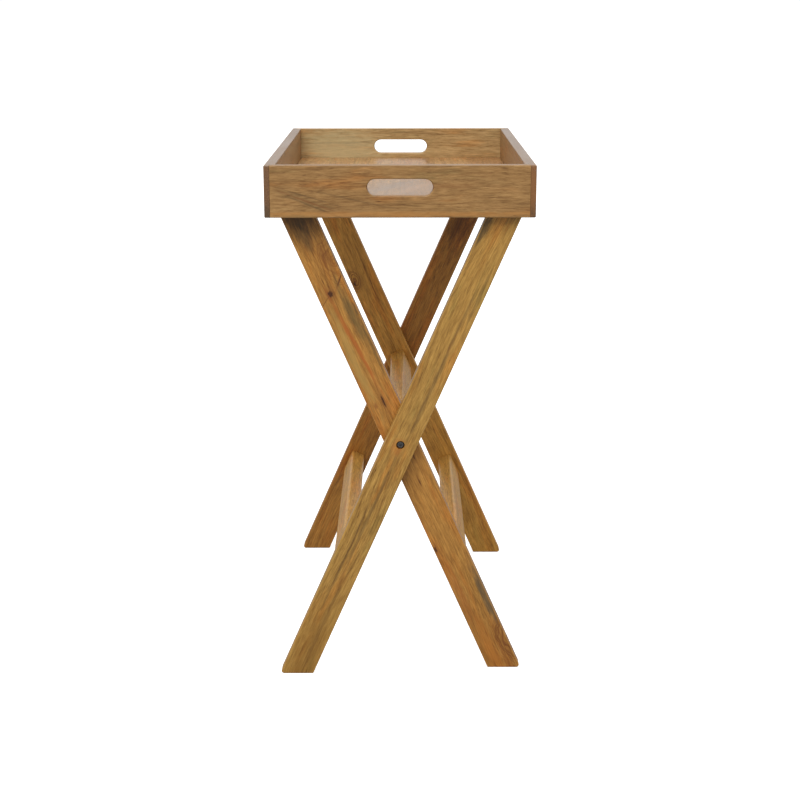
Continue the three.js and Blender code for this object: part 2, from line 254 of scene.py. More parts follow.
def mark_grain(mesh, along, across):
    """Stores each point's place in the board, and which faces show end grain."""
    through = along.cross(across)
    low = Vector(map(min, zip(*(v.co for v in mesh.vertices))))
    high = Vector(map(max, zip(*(v.co for v in mesh.vertices))))
    middle = (low + high) / 2
    place = mesh.attributes.new("place", "FLOAT_VECTOR", "POINT")
    for vert, item in zip(mesh.vertices, place.data):
        offset = vert.co - middle
        item.vector = (offset.dot(along), offset.dot(across), offset.dot(through))
    end = mesh.attributes.new("end", "FLOAT", "FACE")
    for face, item in zip(mesh.polygons, end.data):
        item.value = 1.0 if abs(face.normal.dot(along)) > END_FACING else 0.0


def eased_levels(depth, low_ease, high_ease):
    """(height, inset, edge weight) of each ring of a plate whose two faces' edges are rounded."""
    turns = [math.pi / 2 * k / ARC_STEPS for k in range(ARC_STEPS + 1)]

    def ring(ease, t):
        return ease * (1 - math.cos(t)), ease * (1 - math.sin(t)), math.sin(2 * t)

    lower = [ring(low_ease, t) for t in turns]
    upper = [ring(high_ease, t) for t in reversed(turns)]
    return lower + [(depth - height, inset, weight) for height, inset, weight in upper]


def plate(outline, depth, eases=(EASE, EASE), bores=(), share=(1.0, 1.0)):
    """A flat piece between n = 0 and n = depth, whose bores are functions of the solid.

    eases are the roundings at the two faces, and share is how much of them the edges across p
    and across q get.
    """
    solid = Solid()
    points = [p for p, _ in outline]
    corner = [w for _, w in outline]
    rings = []
    for height, inset, weight in eased_levels(depth, *eases):
        shape = [
            Vector((p.x + (q.x - p.x) * share[0], p.y + (q.y - p.y) * share[1]))
            for p, q in zip(points, grown(points, -inset))
        ]
        rings.append(solid.ring(shape, height, [max(weight * share[1], c) for c in corner]))
    solid.tube(rings)
    mouths = [bore(solid) for bore in bores]
    solid.cap([rings[0]] + [m["low"] for m in mouths if "low" in m], up=False)
    solid.cap([rings[-1]] + [m["high"] for m in mouths if "high" in m], up=True)
    return solid


def mouth_rings(solid, outline, height, sign, ease):
    """The rounded lip where a bore meets a face, from the face inwards."""
    rings = []
    for k in range(MOUTH_STEPS + 1):
        t = math.pi / 2 * k / MOUTH_STEPS
        shape = grown(outline, ease * (1 - math.sin(t)))
        drop = ease * (1 - math.cos(t))
        rings.append(solid.ring(shape, height - sign * drop, math.sin(2 * t) * 0.8))
    return rings


def through_bore(outline, depth, ease=FINE_EASE):
    """A hole of one outline right through a plate."""

    def make(solid):
        low = mouth_rings(solid, outline, 0, -1, ease)
        high = mouth_rings(solid, outline, depth, 1, ease)
        solid.tube(low + high[::-1], inward=True)
        return {"low": low[0], "high": high[0]}

    return make


def stepped_bore(centre, depth, wide, wide_depth, narrow):
    """A bore through a plate, counterbored from the face at n = depth."""

    def make(solid):
        low = mouth_rings(solid, circle(centre, narrow), 0, -1, FINE_EASE)
        high = mouth_rings(solid, circle(centre, wide), depth, 1, COUNTERBORE_EASE)
        seat = solid.ring(circle(centre, wide), depth - wide_depth)
        step = solid.ring(circle(centre, narrow), depth - wide_depth)
        solid.tube(low + [step, seat] + high[::-1], inward=True)
        return {"low": low[0], "high": high[0]}

    return make


def blind_bore(outline, face, reach, at_low):
    """A pocket of one outline from a face, at n = face, into the plate."""

    def make(solid):
        sign = -1 if at_low else 1
        mouth = mouth_rings(solid, outline, face, sign, GROOVE_EASE)
        floor = solid.ring(outline, face - sign * reach)
        rings = mouth + [floor]
        solid.tube(rings if at_low else rings[::-1], inward=True)
        solid.cap([floor], up=not at_low)
        return {"low" if at_low else "high": mouth[0]}

    return make


# ---------------------------------------------------------------- node trees


class Nodes:
    """Builds nodes in a tree."""

    def __init__(self, tree):
        self.tree = tree

    def node(self, kind, inputs=(), **settings):
        made = self.tree.nodes.new(kind)
        for key, value in settings.items():
            setattr(made, key, value)
        for key, value in dict(inputs).items():
            self.feed(made.inputs[key], value)
        return made

    def feed(self, socket, value):
        if isinstance(value, bpy.types.NodeSocket):
            self.tree.links.new(value, socket)
        else:
            socket.default_value = value

    def math(self, operation, *values):
        made = self.node("ShaderNodeMath", dict(enumerate(values)), operation=operation)
        return made.outputs[0]

    def vector(self, operation, *values):
        made = self.node("ShaderNodeVectorMath", dict(enumerate(values)), operation=operation)
        return made.outputs[0]

    def attribute(self, name):
        return self.node("ShaderNodeAttribute", attribute_name=name)

    def noise(self, vector, detail=2.0, roughness=0.5):
        inputs = {"Vector": vector, "Scale": 1.0, "Detail": detail, "Roughness": roughness}
        return self.node("ShaderNodeTexNoise", inputs)

    def bands(self, value, detail):
        """Noise along one value alone."""
        inputs = {"W": value, "Scale": 1.0, "Detail": detail}
        return self.node("ShaderNodeTexNoise", inputs, noise_dimensions="1D").outputs[0]

    def cells(self, scale, detail=2.0, roughness=0.5):
        """Noise in a piece's own place, with cells per metre along each axis."""
        place = self.node("ShaderNodeTexCoord").outputs["Object"]
        return self.noise(self.vector("MULTIPLY", place, scale), detail, roughness).outputs[0]

    def stretched(self, vector, along, across):
        """A vector in metres, scaled along and across the grain for a texture."""
        return self.vector("MULTIPLY", vector, (along, across, across))

    def smooth(self, value, low, high, to_low=0.0, to_high=1.0):
        inputs = {0: value, 1: low, 2: high, 3: to_low, 4: to_high}
        made = self.node("ShaderNodeMapRange", inputs, interpolation_type="SMOOTHSTEP")
        return made.outputs[0]

    def mix(self, amount, a, b, blend="MIX"):
        made = self.node("ShaderNodeMix", data_type="RGBA", blend_type=blend)
        self.feed(made.inputs[0], amount)
        self.feed(made.inputs[6], a)
        self.feed(made.inputs[7], b)
        return made.outputs[2]

    def bump(self, height, distance, strength):
        inputs = {"Height": height, "Distance": distance, "Strength": strength}
        return self.node("ShaderNodeBump", inputs).outputs[0]


class Shader(Nodes):
    """Builds one material's nodes."""

    def __init__(self, name):
        self.material = bpy.data.materials.new(name)
        self.material.use_nodes = True
        super().__init__(self.material.node_tree)
        self.surface = self.tree.nodes["Principled BSDF"]

    def set(self, **values):
        for key, value in values.items():
            self.feed(self.surface.inputs[key.replace("_", " ")], value)


def rgb(red, green, blue):
    """A colour from 0 to 255 values, as the linear values that a shader takes."""

    def linear(value):
        c = value / 255
        return c / 12.92 if c <= 0.04045 else ((c + 0.055) / 1.055) ** 2.4

    return (linear(red), linear(green), linear(blue), 1.0)


# ---------------------------------------------------------------- wood

# Each layer of the grain: cells per metre along and across it, then noise detail and roughness.
GRAIN = {
    "streak": (2.2, 170.0, 4.0, 0.60),
    "dash": (48.0, 440.0, 3.0, 0.65),
    "fibre": (16.0, 1300.0, 3.0, 0.60),
    "patch": (7.0, 26.0, 2.0, 0.50),
    "hue": (8.0, 52.0, 3.0, 0.60),
    "pore": (90.0, 1500.0, 1.0, 0.50),
    "fleck": (75.0, 900.0, 1.0, 0.50),
}
RINGS_PER_METRE = 300.0
WANDER = 30 * MM  # how far the grain strays sideways along the board
PORE_DEPTH = 0.26
FLECK_DEPTH = 0.36
SHADE_POWERS = (0.9, 1.05, 1.3)  # dark grain loses more blue than red

# Factors on a board's mean colour.
ORANGE_PATCH = (1.10, 0.86, 0.62)
OLIVE_PATCH = (0.80, 0.93, 0.95)
OTHER_STAVE = (0.82, 0.72, 0.64)
GLUE_LINE = (0.35, 0.30, 0.25)
END_DARK = (0.34, 0.29, 0.32)
END_PALE = (0.78, 0.70, 0.74)
# paler rounded edges: partly rubbed by use, partly a painted highlight along the arrises
RUBBED_AND_LIT = (1.30, 1.34, 1.36)

COAT_ROUGHNESS = 0.24
RELIEF = 0.12 * MM  # height of the grain's relief
RELIEF_STRENGTH = 0.5


def scaled(colour, factors):
    """A colour with each of its channels multiplied."""
    return tuple(min(1.0, c * f) for c, f in zip(colour, factors)) + (1.0,)


def growth_rings(s, grain, pith):
    """Bands of uneven width around the pith."""
    from_pith = s.vector("SUBTRACT", grain, (0.0, *pith))
    from_pith = s.vector("MULTIPLY", from_pith, (0.0, 1.0, 1.0))
    radius = s.node("ShaderNodeVectorMath", {0: from_pith}, operation="LENGTH").outputs["Value"]
    return s.bands(s.math("MULTIPLY", radius, RINGS_PER_METRE), 3.0)


def grain_layers(s, place, seeded, pith):
    """Each layer of a grain that wanders sideways along the board."""
    wander = s.noise(s.stretched(seeded, 3.2, 7.0), 1.0).outputs["Color"]
    wander = s.vector("SUBTRACT", wander, (0.5, 0.5, 0.5))
    wander = s.vector("MULTIPLY", wander, (0.0, WANDER, WANDER))
    strayed = s.vector("ADD", seeded, wander)
    layers = {"rings": growth_rings(s, s.vector("ADD", place, wander), pith)}
    for name, (along, across, detail, roughness) in GRAIN.items():
        stretched = s.stretched(strayed, along, across)
        layers[name] = s.noise(stretched, detail, roughness).outputs[0]
    return layers


def grain_shade(s, layers, pores, figure):
    """How light or dark the grain is, for each channel of the colour."""
    strengths = {
        "rings": 0.70 * figure,
        "streak": 0.95 * figure,
        "patch": 0.30 * figure,
        "dash": 1.55,
        "fibre": 1.00,
    }
    shade = 1.0
    for name, strength in strengths.items():
        swing = s.math("MULTIPLY", s.math("SUBTRACT", layers[name], 0.5), strength)
        shade = s.math("ADD", shade, swing)
    flecks = s.smooth(layers["fleck"], 0.64, 0.76)
    shade = s.math("SUBTRACT", shade, s.smooth(layers["streak"], 0.42, 0.26, 0.0, 0.30 * figure))
    shade = s.math("SUBTRACT", shade, s.math("MULTIPLY", pores, PORE_DEPTH))
    shade = s.math("SUBTRACT", shade, s.math("MULTIPLY", flecks, FLECK_DEPTH))
    channels = {i: s.math("POWER", shade, power) for i, power in enumerate(SHADE_POWERS)}
    return s.node("ShaderNodeCombineXYZ", channels).outputs[0]


def end_grain(s, seeded, base):
    """End grain soaks up the finish and is darker and redder."""
    fleck = s.noise(s.stretched(seeded, 30.0, 620.0), 3.0, 0.65).outputs[0]
    return s.mix(s.smooth(fleck, 0.32, 0.68), scaled(base, END_DARK), scaled(base, END_PALE))


def edge_wear_and_highlight(s, seeded, end, wear):
    """Rounded edges made paler unevenly along their length, but not around end grain: partly
    rubbed by use, partly a painted highlight along the arrises.
    """
    edge = s.math("MULTIPLY", s.attribute("edge").outputs["Fac"], s.math("SUBTRACT", 1.0, end))
    edge_patches = s.noise(s.stretched(seeded, 22.0, 60.0), 3.0, 0.6).outputs[0]
    return s.math("MULTIPLY", edge, s.smooth(edge_patches, 0.40, 0.66, 0.25 * wear, wear))


def finish_wood(s, layers, pores, tone):
    """Sets the colour, with the gloss and the relief that go with the grain."""
    sheen = s.smooth(layers["patch"], 0.2, 0.8, 0.30, 0.40)
    gloss = s.math("ADD", s.math("MULTIPLY", layers["dash"], 0.10), sheen)
    gloss = s.math("ADD", gloss, s.math("MULTIPLY", pores, 0.12))
    hollow = s.math("MULTIPLY", pores, 0.9)
    relief = s.math("SUBTRACT", s.math("MULTIPLY", layers["fibre"], 0.35), hollow)
    relief = s.math("ADD", relief, s.math("MULTIPLY", layers["rings"], 0.25))
    s.set(Base_Color=tone, Roughness=gloss, Normal=s.bump(relief, RELIEF, RELIEF_STRENGTH))


def wood(
    name,
    seed,
    colour,
    figure=1.0,
    warm=0.5,
    pith=(0.0, -0.07),
    marks=(),
    stave=None,
    coat=0.18,
    wear=0.45,
    gleam=0.5,
):
    """Lacquered mango wood as a solid texture, so that faces, edges and end grain agree.

    colour is the board's mean colour, figure is how strong its rings and streaks are, warm goes
    from olive patches to orange ones, and pith is where the tree's centre lay, across and through
    the board. marks are functions that darken or tint a place on it, a few of them painted shade
    and sheen. stave is the width of the strips that a glued panel is made of. coat is how much
    lacquer there is, wear is how pale the rounded edges are made, partly rubbed by
    use and partly a painted highlight along the arrises, and gleam is the bare wood's own
    specular level.
    """
    s = Shader(name)
    base = rgb(*colour)
    place = s.attribute("place").outputs["Vector"]
    seeded = s.vector("ADD", place, (seed * 3.7, seed * 1.3, seed * 2.1))
    if stave:
        row, joint = staves(s, place, stave)
        pick = s.node("ShaderNodeTexWhiteNoise", {"W": row}, noise_dimensions="1D")
        seeded = s.vector("ADD", seeded, pick.outputs["Color"])
    layers = grain_layers(s, place, seeded, pith)
    pores = s.smooth(layers["pore"], 0.60, 0.74)

    orange = s.smooth(layers["hue"], 0.58 - 0.18 * warm, 0.78 - 0.18 * warm, 0.0, 0.75)
    olive = s.smooth(layers["hue"], 0.50 - 0.14 * warm, 0.30 - 0.14 * warm, 0.0, 0.75)
    tone = s.mix(orange, base, scaled(base, ORANGE_PATCH))
    tone = s.mix(olive, tone, scaled(base, OLIVE_PATCH))
    if stave:
        tone = s.mix(pick.outputs[0], tone, scaled(base, OTHER_STAVE))
    tone = s.mix(1.0, tone, grain_shade(s, layers, pores, figure), "MULTIPLY")
    if stave:
        tone = s.mix(s.math("MULTIPLY", joint, 0.5), tone, scaled(base, GLUE_LINE))
    end = s.attribute("end").outputs["Fac"]
    tone = s.mix(s.math("MULTIPLY", end, 0.85), tone, end_grain(s, seeded, base))
    for mark in marks:
        tone = mark(s, place, tone)
    # the rounded edges paler: partly rubbed by use, partly a painted highlight
    tone = s.mix(edge_wear_and_highlight(s, seeded, end, wear), tone, scaled(base, RUBBED_AND_LIT))

    finish_wood(s, layers, pores, tone)
    s.surface.inputs["Coat Weight"].default_value = coat
    s.surface.inputs["Coat Roughness"].default_value = COAT_ROUGHNESS
    s.surface.inputs["Specular IOR Level"].default_value = gleam
    return s.material


def staves(s, place, width):
    """Which stave of a glued panel a point is on, and how near it is to a joint."""
    across = s.math("DIVIDE", s.node("ShaderNodeSeparateXYZ", {0: place}).outputs[1], width)
    from_middle = s.math("ABSOLUTE", s.math("SUBTRACT", s.math("FRACT", across), 0.5))
    return s.math("FLOOR", across), s.smooth(from_middle, 0.4915, 0.4975)


def from_place(s, place, along, across, length, width, slope=0.0):
    """Distance from a place on the board, in ellipses of a length and width in millimetres."""
    offset = s.vector("SUBTRACT", place, (along * MM, across * MM, 0.0))
    parts = s.node("ShaderNodeSeparateXYZ", {0: offset})
    tilt = s.math("MULTIPLY", parts.outputs[0], slope)
    sideways = s.math("SUBTRACT", parts.outputs[1], tilt)
    reach = (
        s.math("DIVIDE", parts.outputs[0], length * MM),
        s.math("DIVIDE", sideways, width * MM),
    )
    return s.math("SQRT", s.math("ADD", *(s.math("MULTIPLY", v, v) for v in reach)))


def knot(along, across, length, width, depth=0.9, slope=0.0):
    """A dark knot or split at a place on the board, in millimetres from its middle."""

    def make(s, place, base):
        spread = from_place(s, place, along, across, length, width, slope)
        ragged = s.noise(s.vector("MULTIPLY", place, (420.0, 520.0, 420.0)), 2.0).outputs[0]
        spread = s.math("ADD", spread, s.math("MULTIPLY", ragged, 0.9))
        halo = s.smooth(spread, 3.4, 1.0, 0.0, depth * 0.45)
        core = s.smooth(spread, 1.55, 0.85, 0.0, depth)
        base = s.mix(halo, base, rgb(*HALO_BROWN))
        return s.mix(core, base, rgb(*KNOT_BLACK))

    return make


def tint(along, across, length, width, colour, depth=0.6, slope=0.0):
    """A soft streak of another colour at a place on the board, in millimetres."""

    def make(s, place, base):
        spread = from_place(s, place, along, across, length, width, slope)
        ragged = s.noise(s.vector("MULTIPLY", place, (46.0, 260.0, 260.0)), 3.0, 0.6).outputs[0]
        spread = s.math("ADD", spread, s.math("MULTIPLY", s.math("SUBTRACT", ragged, 0.5), 1.3))
        return s.mix(s.smooth(spread, 1.0, 0.25, 0.0, depth), base, rgb(*colour))

    return make


def swirl(along, across, size, depth=0.5):
    """Curled figure around a buried branch: rings about a place on the board, in millimetres."""

    def make(s, place, base):
        spread = from_place(s, place, along, across, 1.7 * size, size)
        warp = s.noise(s.vector("MULTIPLY", place, (60.0, 90.0, 90.0)), 2.0).outputs[0]
        spread = s.math("ADD", spread, s.math("MULTIPLY", s.math("SUBTRACT", warp, 0.5), 0.3))
        bands = s.bands(s.math("MULTIPLY", spread, 13.0), 2.0)
        amount = s.math("MULTIPLY", s.smooth(spread, 1.0, 0.4), s.smooth(bands, 0.44, 0.60))
        return s.mix(s.math("MULTIPLY", amount, depth), base, rgb(*CURL_BROWN))

    return make


# Mean colours of the boards.
TRAY_TAN = (155, 116, 68)
SIDE_TAN = (146, 108, 66)
REAR_TAN = (176, 143, 94)
FLOOR_TAN = (182, 140, 88)
LEG_GOLD = (174, 131, 63)
LEG_ORANGE = (176, 124, 56)
REAR_ORANGE = (188, 135, 58)
REAR_BROWN = (164, 112, 46)
RAIL_GOLD = (190, 142, 69)

# Colours of their marks.
DARK_OLIVE = (70, 56, 34)
RED_BROWN = (120, 64, 24)
# painted sheen: a darker, greyer colour for the side boards' top faces
RIM_SHEEN_BROWN = (122, 95, 68)
KNOT_BLACK = (58, 26, 12)
HALO_BROWN = (122, 66, 28)
CURL_BROWN = (104, 50, 18)

# ---------------------------------------------------------------- hardware materials


def black_steel(name, dark, pale):
    """Black oxide on machined steel, cloudy between a dark and a pale colour."""
    s = Shader(name)
    grime = s.cells((900.0, 900.0, 900.0), 3.0, 0.6)
    turned = s.cells((2600.0, 400.0, 2600.0))
    base = s.mix(s.smooth(grime, 0.3, 0.7), rgb(*dark), rgb(*pale))
    gloss = s.smooth(grime, 0.2, 0.8, 0.28, 0.46)
    s.set(Base_Color=base, Roughness=gloss, Normal=s.bump(turned, 0.04 * MM, 0.5))
    s.surface.inputs["Metallic"].default_value = 0.85
    return s.material


def zinc_steel():
    """Zinc plate: pale, slightly cloudy metal."""
    s = Shader("zinc_plated_steel")
    cloud = s.cells((700.0, 700.0, 700.0), 3.0, 0.6)
    base = s.mix(s.smooth(cloud, 0.3, 0.7), rgb(150, 148, 142), rgb(196, 194, 186))
    gloss = s.smooth(cloud, 0.2, 0.8, 0.26, 0.44)
    s.set(Base_Color=base, Roughness=gloss, Normal=s.bump(cloud, 0.03 * MM, 0.4))
    s.surface.inputs["Metallic"].default_value = 1.0
    return s.material


def nylon():
    """Moulded dark nylon with a fine matt texture."""
    s = Shader("moulded_nylon")
    speckle = s.cells((2400.0, 2400.0, 2400.0))
    base = s.mix(s.smooth(speckle, 0.35, 0.65), rgb(36, 34, 32), rgb(52, 49, 46))
    gloss = s.smooth(speckle, 0.3, 0.7, 0.46, 0.60)
    s.set(Base_Color=base, Roughness=gloss, Normal=s.bump(speckle, 0.03 * MM, 0.5))
    return s.material


def bare_beech():
    """Unfinished beech dowels: pale, with short flecks along the dowel."""
    s = Shader("bare_beech")
    fibre = s.cells((1500.0, 60.0, 1500.0), 3.0, 0.6)
    flecks = s.cells((2600.0, 320.0, 2600.0), 1.0)
    base = s.mix(s.smooth(fibre, 0.3, 0.7), rgb(196, 162, 118), rgb(222, 192, 150))
    base = s.mix(s.smooth(flecks, 0.62, 0.72, 0.0, 0.5), base, rgb(150, 104, 66))
    gloss = s.smooth(fibre, 0.2, 0.8, 0.62, 0.78)
    s.set(Base_Color=base, Roughness=gloss, Normal=s.bump(fibre, 0.08 * MM, 0.6))
    return s.material


# ---------------------------------------------------------------- tray


def axes(p, q, n, origin):
    """The matrix that takes (p, q, n) to the row frame."""
    matrix = Matrix((p, q, n)).transposed().to_4x4()
    matrix.translation = origin
    return matrix


def placed(solid, name, to_world, along, across, material, body, nodes):
    """Finishes a board, gives it its wood, and lets it stand for its CAD nodes."""
    obj = solid.finish(name, to_world, along, across)
    obj.data.materials.append(material)
    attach(obj, body)
    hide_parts(*nodes)


def side_board(name, side, material):
    """A long side board: rebated for the end boards and grooved for the floor."""
    node = f"tray_side_{name}"
    low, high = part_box(node)
    floor_low, floor_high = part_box("tray_floor")
    half = (high.y - low.y) / 2
    height = high.z - low.z
    shoulder = half - BOARD
    middle = (floor_low.z + floor_high.z) / 2 - low.z
    groove_low = middle - TONGUE / 2 - GAP
    groove_high = middle + TONGUE / 2 + GAP

    def outline(inner):
        """From the outer face at p = 0 inwards: lips at the ends, the thick part between."""
        return [
            (0, -half, CORNER_EASE),
            (LIP, -half, FINE_EASE),
            (LIP, -shoulder, 0),
            (BOARD - GROOVE_DEPTH, -shoulder, 0),
            (inner, -shoulder, 0),
            (inner, shoulder, 0),
            (BOARD - GROOVE_DEPTH, shoulder, 0),
            (LIP, shoulder, 0),
            (LIP, half, FINE_EASE),
            (0, half, CORNER_EASE),
        ]

    def eased(point, moved):
        """Only the long faces and the ends are rounded, so that the corner joints stay tight."""
        in_rebate = LIP / 2 < point.x < (LIP + BOARD) / 2
        at_end = abs(point.y) > (half + shoulder) / 2
        return Vector((point.x if in_rebate else moved.x, moved.y if at_end else point.y))

    solid = Solid()
    plain = rounded(outline(BOARD))
    flat = [p for p, _ in plain]
    corner = [w for _, w in plain]
    deep = [p for p, _ in rounded(outline(BOARD - GROOVE_DEPTH))]
    groove = ((groove_low, flat), (groove_low, deep), (groove_high, deep), (groove_high, flat))
    levels = eased_levels(height, EASE, EASE)
    rings = []
    for i, (level, inset, weight) in enumerate(levels):
        if i == len(levels) // 2:
            rings += [solid.ring(shape, z, corner) for z, shape in groove]
        shape = [eased(point, moved) for point, moved in zip(flat, grown(flat, -inset))]
        rings.append(solid.ring(shape, level, [max(weight, c) for c in corner]))
    solid.tube(rings)
    solid.cap([rings[0]], up=False)
    solid.cap([rings[-1]], up=True)
    face = high.x if side > 0 else low.x
    to_world = axes(X * -side, Y, Z, Vector((face, 0, low.z)))
    placed(solid, f"{node}_board", to_world, Y, Z, material, "tray", [node])


def end_board(name, end, material):
    """A short end board with its rounded hand hole and the groove for the floor."""
    node = f"tray_end_{name}"
    low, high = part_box(node)
    floor_low, floor_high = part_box("tray_floor")
    half = (high.x - low.x) / 2 + GLUE_FILL
    depth = high.y - low.y
    outline = rounded_rectangle((-half, low.z), (half, high.z), FINE_EASE)
    slot = stadium((0, high.z - SLOT_DROP), SLOT_LENGTH, SLOT_HEIGHT)
    middle = (floor_low.z + floor_high.z) / 2
    reach = half - 2 * FINE_EASE
    groove = rectangle(
        (-reach, middle - TONGUE / 2 - GAP),
        (reach, middle + TONGUE / 2 + GAP),
    )
    bores = [
        through_bore(slot, depth, SLOT_EASE),
        blind_bore(groove, 0, GROOVE_DEPTH, at_low=True),
    ]
    solid = plate(outline, depth, (FINE_EASE, EASE), bores, END_SHARE)
    inner = high.y if end < 0 else low.y
    to_world = axes(X, Z, Y * end, Vector((0, inner, 0)))
    placed(solid, f"{node}_board", to_world, X, Z, material, "tray", [node])


def floor_panel(material):
    """The floor, with its tongue in the boards' grooves."""
    low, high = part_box("tray_floor")
    x = high.x - GROOVE_DEPTH
    y = high.y - GROOVE_DEPTH
    thickness = high.z - low.z
    tongue_low = thickness / 2 - TONGUE / 2
    tongue_high = thickness / 2 + TONGUE / 2
    narrow = rectangle((-x, -y), (x, y))
    wide = rectangle((-x - GROOVE_DEPTH, -y - GROOVE_DEPTH), (x + GROOVE_DEPTH, y + GROOVE_DEPTH))
    solid = Solid()
    levels = (
        (0, narrow),
        (tongue_low, narrow),
        (tongue_low, wide),
        (tongue_high, wide),
        (tongue_high, narrow),
        (thickness, narrow),
    )
    rings = [solid.ring(shape, z) for z, shape in levels]
    solid.tube(rings)
    solid.cap([rings[0]], up=False)
    solid.cap([rings[-1]], up=True)
    to_world = axes(X, Y, Z, Vector((0, 0, low.z)))
    placed(
        solid, "tray_floor_panel", to_world, Y, X, material, "tray", ["tray_floor"]
    )


def build_tray():
    """The four boards and the floor, each with its own wood."""
    for seed, (name, side) in enumerate(SIDES.items(), start=1):
        stains_and_sheen = [
            tint(-305, -34, 12, 26, DARK_OLIVE, 0.6),
            # painted sheen: the top face made darker and greyer, so that its reflection reads as
            # on a glossier edge
            tint(0, 37, 900, 4, RIM_SHEEN_BROWN, 0.80),
        ]
        if name == "right":
            stains_and_sheen.append(tint(-305, 4, 12, 60, (156, 100, 44), 0.45))
        pith = (-0.045 * side, -0.06)
        material = wood(f"wood_side_{name}", float(seed), SIDE_TAN, 0.8, 0.6, pith, stains_and_sheen)
        side_board(name, side, material)
    oblique = [
        tint(-132, -12, 62, 8.0, DARK_OLIVE, 0.24, -0.34),
        tint(-118, -22, 52, 2.2, DARK_OLIVE, 0.40, -0.40),
        tint(-128, -14, 60, 2.0, RED_BROWN, 0.40, -0.36),
        tint(-132, -6, 66, 1.6, DARK_OLIVE, 0.34, -0.30),
        tint(-70, -10, 90, 2.0, DARK_OLIVE, 0.26, -0.22),
        tint(0, -31, 420, 5.0, (186, 130, 68), 0.55),
        # painted shade: the top face darkened and yellowed to dull its reflection
        tint(0, 37, 420, 3.0, (128, 94, 44), 0.60),
        tint(60, 8, 70, 5.0, RED_BROWN, 0.22),
    ]
    pale = [tint(-108, 2, 110, 50, (204, 190, 145), 0.50)]
    # painted shade and painted reflection: the floor's front, seen through the hand hole,
    # darkened against the softbox, with greyish diagonal streaks for its sheen
    darker = [
        tint(-150, 0, 190, 150, (126, 99, 74), 0.60),
        tint(-140, -18, 120, 20, (122, 106, 92), 0.34, 0.4),
        tint(-140, 26, 120, 15, (178, 132, 88), 0.30, 0.4),
    ]
    matt = {"coat": 0.06, "gleam": 0.35}
    front = wood("wood_end_front", 3.0, TRAY_TAN, 0.75, 0.45, (-0.03, -0.09), oblique, **matt)
    end_board("front", -1, front)
    rear = wood("wood_end_rear", 4.0, REAR_TAN, 0.9, 0.45, (0.02, -0.08), pale, **matt)
    end_board("rear", 1, rear)
    floor_panel(wood("wood_floor", 5.0, FLOOR_TAN, 0.8, 0.5, (0.02, -0.11), darker, STAVE))


# ---------------------------------------------------------------- stand


def leaning(lean):
    """Directions across and along a leg that leans by lean x LEG_ANGLE."""
    across = Vector((math.cos(LEG_ANGLE), 0, -lean * math.sin(LEG_ANGLE)))
    along = Vector((lean * math.sin(LEG_ANGLE), 0, math.cos(LEG_ANGLE)))
    return across, along


def leg(name, lean, end, body, material, counterbored):
    """A leg cut level at both ends, with its outward face at the counterbore's side."""
    low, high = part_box(name)
    half = LEG_WIDTH / 2
    slope = lean * half * math.tan(LEG_ANGLE)
    foot = (low.z - PIVOT.z) / math.cos(LEG_ANGLE)
    head = (high.z - PIVOT.z) / math.cos(LEG_ANGLE)
    radii = (TOE_RADIUS, CORNER_EASE) if lean > 0 else (CORNER_EASE, TOE_RADIUS)
    outline = rounded([
        (-half, foot - slope, radii[0]),
        (half, foot + slope, radii[1]),
        (half, head + slope, radii[0]),
        (-half, head - slope, radii[1]),
    ], LEG_ARC_STEPS)
    depth = high.y - low.y
    if counterbored:
        bore = stepped_bore(
            (0, 0), depth, COUNTERBORE_RADIUS, COUNTERBORE_DEPTH, BOLT_HOLE_RADIUS
        )
    else:
        bore = through_bore(circle((0, 0), BOLT_HOLE_RADIUS), depth)
    solid = plate(outline, depth, (EASE, EASE), [bore])
    across, along = leaning(lean)
    inner = high.y if end < 0 else low.y
    to_world = axes(across, along, Y * end, Vector((PIVOT.x, inner, PIVOT.z)))
    placed(
        solid, f"{name}_board", to_world, along, across, material, body, [name]
    )


def rail(name, lean, body, material):
    """A rail between two legs, turned to lean with them."""
    low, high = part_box(name)
    centre = (low + high) / 2
    x = RAIL_THICKNESS / 2
    z = RAIL_WIDTH / 2
    outline = rounded_rectangle((-x, -z), (x, z), RAIL_EASE)
    solid = plate(outline, high.y - low.y, (FINE_EASE, FINE_EASE))
    across, upward = leaning(lean)
    to_world = axes(across, upward, Y, Vector((centre.x, low.y, centre.z)))
    placed(
        solid, f"{name}_board", to_world, Y, upward, material, body, [name]
    )


